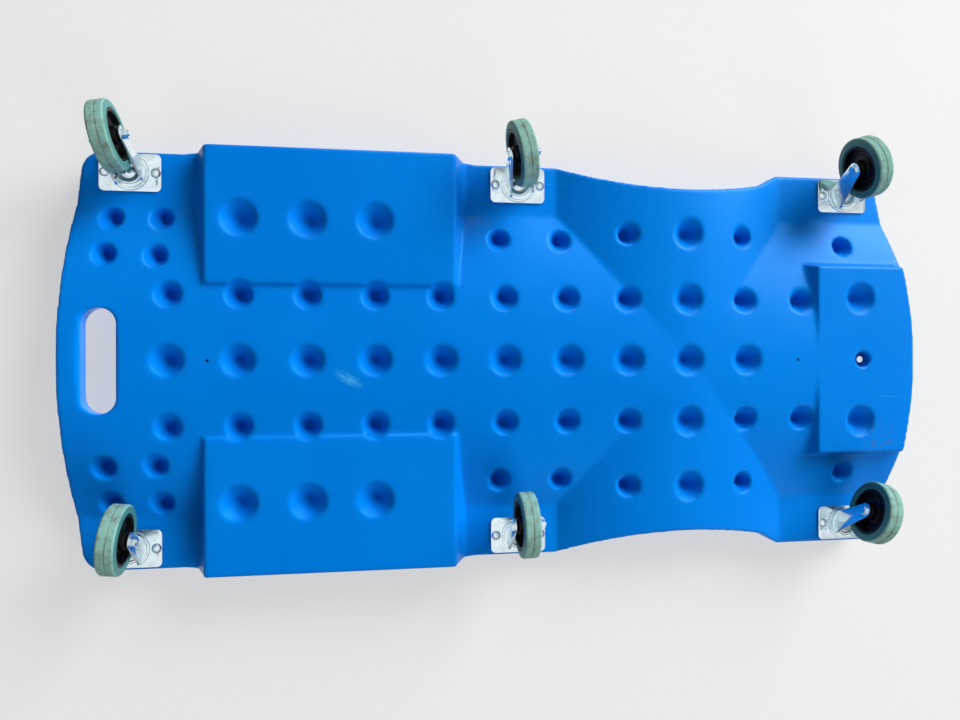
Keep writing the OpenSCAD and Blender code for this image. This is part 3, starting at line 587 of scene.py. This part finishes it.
def plywood():
    """Thin birch plywood, seen on its cut edge as layers."""
    finish, tree, shader, where = new_finish("plywood_birch")
    grain = noise(tree, where, 1.0, 5.0, 0.6, stretch=(40, 260, 900))
    dark_layer = (0.42, 0.27, 0.13)
    pale_layer = (0.62, 0.45, 0.27)
    colour = blend_colours(tree, band(tree, grain, 0.3, 0.7), dark_layer, pale_layer)
    tree.links.new(colour, shader.inputs["Base Color"])
    shader.inputs["Roughness"].default_value = 0.7
    relief(tree, shader, grain, 0.0002, 0.4)
    return finish


def open_foam():
    """Open cell foam, with painted shade darkening the middle of each cell."""
    finish, tree, shader, where = new_finish("foam_grey")
    cells = put(
        tree, "ShaderNodeTexVoronoi", {"Vector": where, "Scale": 700.0}, feature="DISTANCE_TO_EDGE",
    ).outputs["Distance"]
    wall_colour = (0.30, 0.30, 0.29)
    # painted shade: the middle of each cell is darker, standing in for the shade inside the open pores
    pore_shade_colour = (0.16, 0.16, 0.16)
    colour = blend_colours(tree, band(tree, cells, 0.0, 0.25), wall_colour, pore_shade_colour)
    tree.links.new(colour, shader.inputs["Base Color"])
    shader.inputs["Roughness"].default_value = 0.95
    relief(tree, shader, cells, 0.0006, 0.8)
    return finish


# ------------------------------------------------------------------ pieces


class CREEPER_OT_deck(bpy.types.Operator):
    """Make the moulded deck, with its edges softened"""

    bl_idname = "creeper.deck"
    bl_label = "Deck"

    def execute(self, context):
        settings = context.scene.creeper_deck
        deck = copy_of("deck", "deck_skin")
        finish_with(
            deck, "REMESH", mode="VOXEL", voxel_size=settings.voxel, adaptivity=0.0,
        )
        finish_with(deck, "SMOOTH", factor=0.5, iterations=settings.soften)
        finish_with(deck, "DECIMATE", ratio=settings.kept_faces)
        for place in VENT_PLACES:
            self.pierce(deck, place, settings.vent)
        deck.data.materials.clear()
        pick(deck)
        bpy.ops.object.shade_smooth_by_angle(angle=math.radians(60))
        deck.data.materials.append(moulded_plastic(settings))
        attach(deck, "deck")
        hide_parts("deck")
        return {"FINISHED"}

    def pierce(self, deck, place, width):
        """Drills a vent into the lower skin, straight up from below."""
        skin = deck.ray_cast(Vector((*place, -1.0)), Vector((0, 0, 1)))[1]
        bpy.ops.object.select_all(action="DESELECT")
        bpy.ops.mesh.primitive_cylinder_add(
            vertices=24, radius=width / 2, depth=0.016, location=skin,
        )
        drill = bpy.context.object
        bpy.ops.object.transform_apply(location=True, rotation=True, scale=True)
        finish_with(deck, "BOOLEAN", operation="DIFFERENCE", object=drill, solver="MANIFOLD")
        bpy.data.objects.remove(drill)


class CREEPER_OT_headrest(bpy.types.Operator):
    """Fill out the vinyl headrest and dress its board and foam"""

    bl_idname = "creeper.headrest"
    bl_label = "Headrest"

    def execute(self, context):
        settings = context.scene.creeper_headrest
        low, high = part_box("headrest_cover")
        cushion = self.block(settings, low, high)
        finish_with(cushion, "REMESH", mode="VOXEL", voxel_size=settings.voxel, adaptivity=0.0)
        self.fill_out(context, cushion, settings, low)
        finish_with(cushion, "SUBSURF", levels=1, render_levels=1)
        for core in ("headrest_board", "headrest_foam"):
            self.clear_of(cushion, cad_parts[core])
        pick(cushion)
        bpy.ops.object.shade_smooth()
        cushion.data.materials.append(vinyl(settings))
        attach(cushion, "deck")
        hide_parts("headrest_cover")
        wear("headrest_foam", open_foam())
        wear("headrest_board", plywood())
        return {"FINISHED"}

    def block(self, settings, low, high):
        """The slack cushion: a block that is smaller than the filled one, with soft edges."""
        inset = settings.start_inset
        centre = (low + high) / 2
        size = high - low
        bpy.ops.object.select_all(action="DESELECT")
        bpy.ops.mesh.primitive_cube_add(
            size=1.0, location=(centre.x, centre.y, centre.z - inset / 2),
            scale=(size.x - 2 * inset, size.y - 2 * inset, size.z - inset),
        )
        cushion = bpy.context.object
        cushion.name = "headrest_cushion"
        bpy.ops.object.transform_apply(location=True, rotation=True, scale=True)
        self.round_edges(cushion, settings.corner, 8, lambda p, q: abs(p.z - q.z) > 0.01)
        top = max(v.co.z for v in cushion.data.vertices) - 0.0001
        self.round_edges(cushion, settings.brow, 6, lambda p, q: p.z > top and q.z > top)
        return cushion

    def round_edges(self, cushion, radius, steps, chosen):
        """Rounds the edges whose two ends pass a test."""
        pick(cushion)
        bpy.ops.object.mode_set(mode="EDIT")
        bpy.ops.mesh.select_all(action="DESELECT")
        bpy.ops.object.mode_set(mode="OBJECT")
        points = cushion.data.vertices
        for edge in cushion.data.edges:
            edge.select = chosen(*(points[i].co for i in edge.vertices))
        bpy.ops.object.mode_set(mode="EDIT")
        bpy.ops.mesh.select_mode(type="EDGE")
        bpy.ops.mesh.bevel(offset=radius, segments=steps, affect="EDGES")
        bpy.ops.mesh.select_mode(type="VERT")
        bpy.ops.object.mode_set(mode="OBJECT")

    def clear_of(self, cushion, core):
        """Keeps the skin a little outside what it covers."""
        for vertex in cushion.data.vertices:
            found, place, normal, _ = core.closest_point_on_mesh(vertex.co)
            away = vertex.co - place
            if found and away.dot(normal) < SKIN_GAP and away.length < CORE_REACH:
                vertex.co = place + normal * SKIN_GAP

    def fill_out(self, context, cushion, settings, low):
        """Swells the cushion as cloth, and holds how far a point may move."""
        start = [v.co.copy() for v in cushion.data.vertices]
        held = cushion.vertex_groups.new(name="held")
        held.add([i for i, p in enumerate(start) if p.z < low.z + HELD_HEIGHT], 1.0, "REPLACE")
        cloth = cushion.modifiers.new("Fill", "CLOTH")
        cloth.settings.quality = 6
        cloth.settings.mass = 0.3
        cloth.settings.tension_stiffness = 12
        cloth.settings.compression_stiffness = 12
        cloth.settings.bending_stiffness = 0.6
        cloth.settings.use_pressure = True
        cloth.settings.uniform_pressure_force = settings.pressure
        cloth.settings.effector_weights.gravity = 0
        cloth.settings.vertex_group_mass = "held"
        for step in range(1, FILL_FRAMES + 1):
            context.scene.frame_set(step)
        pick(cushion)
        bpy.ops.object.modifier_apply(modifier=cloth.name)
        for vertex, before in zip(cushion.data.vertices, start):
            move = vertex.co - before
            if move.length > settings.swell:
                vertex.co = before + move.normalized() * settings.swell
        cushion.vertex_groups.clear()
        context.scene.frame_set(1)


class CREEPER_OT_wheels(bpy.types.Operator):
    """Turn the tyres and hubs, and put one of each on every caster"""

    bl_idname = "creeper.wheels"
    bl_label = "Wheels"

    def execute(self, context):
        settings = context.scene.creeper_casters
        radius = wheel_place(CASTERS[0])[1]
        tyre = self.tyre(settings, radius)
        hub = self.hub(settings)
        rubber = worn_rubber(settings)
        black = hub_plastic(settings)
        for caster in CASTERS:
            place = wheel_place(caster)[0]
            for model, part, finish, slot in (
                (tyre, "tyre", rubber, "tyre_rubber"), (hub, "hub", black, "hub_plastic"),
            ):
                piece = placed_copy(model, f"{caster}_{part}_turned", place)
                piece.data.materials.append(finish)
                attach(piece, f"{caster}_wheel")
                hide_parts(f"{caster}_{part}")
        bpy.data.objects.remove(tyre)
        bpy.data.objects.remove(hub)
        return {"FINISHED"}

    def tyre(self, settings, radius):
        """A tyre with round shoulders, a shallow lip round each side and a fine groove."""
        bore = settings.tyre_bore / 2
        half = settings.tyre_width / 2
        shoulder = settings.shoulder
        bead = 0.0012
        lip = 0.0005
        lip_in = bore + 0.0028
        lip_out = bore + 0.0036
        groove = 0.0005
        groove_mouth = 0.0011
        groove_foot = 0.0004
        side = [
            (bore, 0.0), (bore, -half + bead), (bore + bead, -half),
            (lip_in, -half), (lip_out, -half + lip), (radius - shoulder, -half + lip),
        ]
        arc = []
        arc_steps = 8
        for i in range(arc_steps + 1):
            turn = math.radians(90 * i / arc_steps)
            arc.append((
                radius - shoulder + shoulder * math.sin(turn),
                -half + lip + shoulder * (1 - math.cos(turn)),
            ))
        tread = [
            (radius, arc[-1][1] + 0.0006), (radius, -half / 4), (radius, -groove_mouth - groove),
            (radius, -groove_mouth), (radius - groove, -groove_foot), (radius - groove, 0.0),
        ]
        lower = side + arc + tread
        upper = [(r, -z) for r, z in reversed(lower[:-1])]
        piece = turned("tyre_model", lower + upper, TYRE_STEPS)
        tread_mark = piece.data.attributes.new("tread", "FLOAT", "POINT")
        track_mark = piece.data.attributes.new("track", "FLOAT", "POINT")
        for vertex in piece.data.vertices:
            away = vertex.co.xy.length
            past_side = (away - radius + shoulder) / shoulder
            tread_mark.data[vertex.index].value = min(1.0, max(0.0, past_side))
            near_line = max(0.0, 1.0 - abs(vertex.co.z) / (half * 0.4))
            track_mark.data[vertex.index].value = near_line if away > radius - 2 * groove else 0.0
        pick(piece)
        bpy.ops.object.shade_smooth()
        return piece

    def hub(self, settings):
        """A hub with a dished web, a round rim and a boss with a collar."""
        rim = settings.tyre_bore / 2 - 0.00005
        half = settings.tyre_width / 2
        boss = settings.hub_boss / 2
        end = settings.hub_length / 2
        bore = settings.axle / 2
        collar = end - 0.0012
        web = 0.0032
        ring = web + 0.0008
        face = [
            (bore, 0.0), (bore, end), (boss * 0.62, end), (boss * 0.66, collar),
            (boss * 0.94, collar), (boss, end - 0.003), (boss + 0.0006, web + 0.001),
            (boss + 0.003, web), (rim * 0.62, web), (rim * 0.66, ring), (rim * 0.72, ring),
            (rim * 0.76, web), (rim - 0.0042, web), (rim - 0.0030, half - 0.0008),
            (rim, half - 0.0006), (rim, 0.0),
        ]
        upper = rounded(face, 0.0011, 4)
        lower = [(r, -z) for r, z in reversed(upper[:-1])]
        piece = turned("hub_model", upper + lower[:-1] + [upper[0]], HUB_STEPS)
        pick(piece)
        bpy.ops.object.shade_smooth_by_angle(angle=math.radians(50))
        return piece


class CREEPER_OT_casters(bpy.types.Operator):
    """Round the pressed sheet of the plates and forks, and give the metal its finish"""

    bl_idname = "creeper.casters"
    bl_label = "Casters"

    def execute(self, context):
        settings = context.scene.creeper_casters
        zinc = zinc_plate(settings)
        steel = bearing_steel()
        for caster in CASTERS:
            for part, body in (("plate", "deck"), ("fork", f"{caster}_swivel")):
                piece = self.pressed(settings, f"{caster}_{part}")
                piece.data.materials.append(zinc)
                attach(piece, body)
                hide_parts(f"{caster}_{part}")
            wear(f"{caster}_swivel_balls", steel)
            wear(f"{caster}_king_pin", zinc)
            wear(f"{caster}_axle_bolt", zinc)
            wear(f"{caster}_axle_nut", zinc)
        for node in ("caster_bolts", "sleeve_nuts", "headrest_washer", "headrest_tee_nut"):
            wear(node, zinc)
        bolt = self.headrest_bolt(settings)
        bolt.data.materials.append(zinc)
        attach(bolt, "deck")
        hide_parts("headrest_bolt")
        return {"FINISHED"}

    def headrest_bolt(self, settings):
        """The bolt that holds the headrest, with a round cap on its flanged head."""
        low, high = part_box("headrest_bolt")
        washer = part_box("headrest_washer")[0].z
        seat = washer - 0.0001
        end = low.z - settings.cap_height
        cap = settings.cap / 2
        flange = (high.y - low.y) / 2
        thread = settings.thread / 2
        profile = rounded([
            (0.0, end), (cap, end), (cap, low.z), (flange, low.z), (flange, seat),
            (thread, seat), (thread, high.z), (0.0, high.z),
        ], 0.0007, 3)
        piece = turned("headrest_bolt_turned", profile, BOLT_STEPS)
        piece.data.transform(Matrix.Translation(((low.x + high.x) / 2, (low.y + high.y) / 2, 0)))
        pick(piece)
        bpy.ops.object.shade_smooth_by_angle(angle=math.radians(40))
        return piece

    def pressed(self, settings, node):
        """A copy of a sheet part whose sharp edges are rounded."""
        piece = copy_of(node, f"{node}_pressed")
        pick(piece)
        bpy.ops.object.mode_set(mode="EDIT")
        bpy.ops.mesh.select_all(action="SELECT")
        bpy.ops.mesh.dissolve_limited(angle_limit=math.radians(1.0))
        bpy.ops.object.mode_set(mode="OBJECT")
        finish_with(
            piece, "BEVEL", width=settings.edge, segments=2, limit_method="ANGLE",
            angle_limit=math.radians(50), use_clamp_overlap=True,
        )
        pick(piece)
        bpy.ops.object.shade_smooth_by_angle(angle=math.radians(35))
        return piece


# ------------------------------------------------------------------ stage


def one_sided(name, colour):
    """A pale matt finish that shows on one side of a sheet only."""
    finish = bpy.data.materials.new(name)
    finish.use_nodes = True
    tree = finish.node_tree
    shader = tree.nodes["Principled BSDF"]
    shader.inputs["Base Color"].default_value = (*(c * SHEET_SHARE for c in colour), 1.0)
    shader.inputs["Roughness"].default_value = 0.9
    shader.inputs["Specular IOR Level"].default_value = 0.0
    shader.inputs["Emission Color"].default_value = (*colour, 1.0)
    shader.inputs["Emission Strength"].default_value = SHEET_GLOW
    clear = tree.nodes.new("ShaderNodeBsdfTransparent")
    side = tree.nodes.new("ShaderNodeNewGeometry").outputs["Backfacing"]
    mix = put(tree, "ShaderNodeMixShader", {0: side})
    tree.links.new(shader.outputs[0], mix.inputs[1])
    tree.links.new(clear.outputs[0], mix.inputs[2])
    tree.links.new(mix.outputs[0], tree.nodes["Material Output"].inputs["Surface"])
    return finish


def sheet_at(name, height, faces_up, colour):
    """A wide level sheet that light passes and only the camera sees."""
    bpy.ops.object.select_all(action="DESELECT")
    bpy.ops.mesh.primitive_plane_add(size=SHEET_SIZE, location=(0, 0, height))
    sheet = bpy.context.object
    sheet.name = name
    bpy.ops.object.transform_apply(location=True, rotation=True, scale=True)
    if not faces_up:
        bpy.ops.object.mode_set(mode="EDIT")
        bpy.ops.mesh.select_all(action="SELECT")
        bpy.ops.mesh.flip_normals()
        bpy.ops.object.mode_set(mode="OBJECT")
    sheet.data.materials.append(one_sided(name + "_matt", colour))
    sheet.visible_shadow = False
    sheet.visible_diffuse = False
    sheet.visible_glossy = False
    sheet.visible_transmission = False


def soft_lamp(name, place, power, size):
    """A large square lamp that faces the middle of the deck."""
    light = bpy.data.lights.new(name, "AREA")
    light.energy = power
    light.shape = "SQUARE"
    light.size = size
    lamp = bpy.data.objects.new(name, light)
    bpy.context.scene.collection.objects.link(lamp)
    aim = Vector((0, MIDDLE_Y, DECK_LOW.z)) - Vector(place)
    lamp.location = place
    lamp.rotation_euler = aim.to_track_quat("-Z", "Y").to_euler()
    lamp.visible_camera = False
    lamp.visible_glossy = False
    return lamp


def sheen_lamp(name, place, power, size):
    """A lamp that only glints on the deck, and leaves the bare metal alone."""
    lamp = soft_lamp(name, place, power, size)
    lamp.visible_diffuse = False
    lamp.visible_glossy = True
    receivers = bpy.data.collections.new(name + "_receivers")
    receivers.objects.link(bpy.data.objects["deck_skin"])
    lamp.light_linking.receiver_collection = receivers


class CREEPER_OT_stage(bpy.types.Operator):
    """Set the floor, the backdrop, the lamps and the camera"""

    bl_idname = "creeper.stage"
    bl_label = "Stage"

    def execute(self, context):
        settings = context.scene.creeper_stage
        scene = context.scene
        colour = tuple(settings.floor_colour)
        sheet_at("floor", 0.0, True, colour)
        sheet_at("backdrop", CAD_BOX[1][2] + BACKDROP_GAP, False, colour)
        for lamp in SOFT_LAMPS:
            soft_lamp(*lamp)
        for lamp in SHEEN_LAMPS:
            sheen_lamp(*lamp)
        self.room(scene, settings)
        self.camera(scene, settings)
        scene.view_settings.view_transform = "Standard"
        return {"FINISHED"}

    def room(self, scene, settings):
        """A pale room, dimmer as a light than as the camera and bright metal see it."""
        world = bpy.data.worlds.new("plain_room")
        scene.world = world
        world.use_nodes = True
        tree = world.node_tree
        back = tree.nodes["Background"]
        back.inputs["Color"].default_value = ROOM_COLOUR
        ray = tree.nodes.new("ShaderNodeLightPath")
        seen = largest(tree, ray.outputs["Is Camera Ray"], ray.outputs["Is Glossy Ray"])
        seen = largest(tree, seen, ray.outputs["Is Transmission Ray"])
        heading = tree.nodes.new("ShaderNodeTexCoord").outputs["Generated"]
        upright = put(tree, "ShaderNodeSeparateXYZ", {"Vector": heading}).outputs["Z"]
        upright = put(tree, "ShaderNodeMath", {0: upright}, operation="ABSOLUTE").outputs["Value"]
        dark = settings.room_light * DARK_MIRROR_SHARE
        mirrored = band(tree, upright, 0.1, 0.9, dark, ROOM_MIRRORED)
        shown = put(tree, "ShaderNodeMix", {
            0: ray.outputs["Is Camera Ray"], 2: mirrored, 3: ROOM_SEEN,
        }).outputs[0]
        strength = put(tree, "ShaderNodeMix", {
            0: seen, 2: settings.room_light, 3: shown,
        }).outputs[0]
        tree.links.new(strength, back.inputs["Strength"])

    def camera(self, scene, settings):
        """The camera, which looks up at the underside."""
        lens = bpy.data.cameras.new("camera")
        lens.lens = settings.lens
        lens.sensor_width = 36.0
        lens.clip_start = 0.01
        camera = bpy.data.objects.new("camera", lens)
        camera.location = settings.camera_place
        camera.rotation_euler = settings.camera_turn
        scene.collection.objects.link(camera)
        scene.camera = camera


class CREEPER_PT_pieces(bpy.types.Panel):
    """Lists the creeper's pieces in the sidebar"""

    bl_idname = "CREEPER_PT_pieces"
    bl_label = "Creeper"
    bl_space_type = "VIEW_3D"
    bl_region_type = "UI"
    bl_category = "Creeper"

    def draw(self, context):
        for operator in PIECES:
            self.layout.operator(operator.bl_idname)
        for group in (
            context.scene.creeper_deck, context.scene.creeper_headrest,
            context.scene.creeper_casters, context.scene.creeper_stage,
        ):
            box = self.layout.box()
            for key in group.__annotations__:
                box.prop(group, key)


SETTINGS = {
    "creeper_deck": CreeperDeckSettings,
    "creeper_headrest": CreeperHeadrestSettings,
    "creeper_casters": CreeperCasterSettings,
    "creeper_stage": CreeperStageSettings,
}
PIECES = (
    CREEPER_OT_deck, CREEPER_OT_headrest, CREEPER_OT_casters, CREEPER_OT_wheels, CREEPER_OT_stage,
)


def register():
    for group in SETTINGS.values():
        bpy.utils.register_class(group)
    for operator in PIECES:
        bpy.utils.register_class(operator)
    bpy.utils.register_class(CREEPER_PT_pieces)
    for key, group in SETTINGS.items():
        setattr(bpy.types.Scene, key, bpy.props.PointerProperty(type=group))


def unregister():
    for key in SETTINGS:
        delattr(bpy.types.Scene, key)
    bpy.utils.unregister_class(CREEPER_PT_pieces)
    for operator in reversed(PIECES):
        bpy.utils.unregister_class(operator)
    for group in SETTINGS.values():
        bpy.utils.unregister_class(group)


def main():
    register()
    for operator in PIECES:
        group, name = operator.bl_idname.split(".")
        getattr(getattr(bpy.ops, group), name)()


if __name__ == "__main__":
    main()
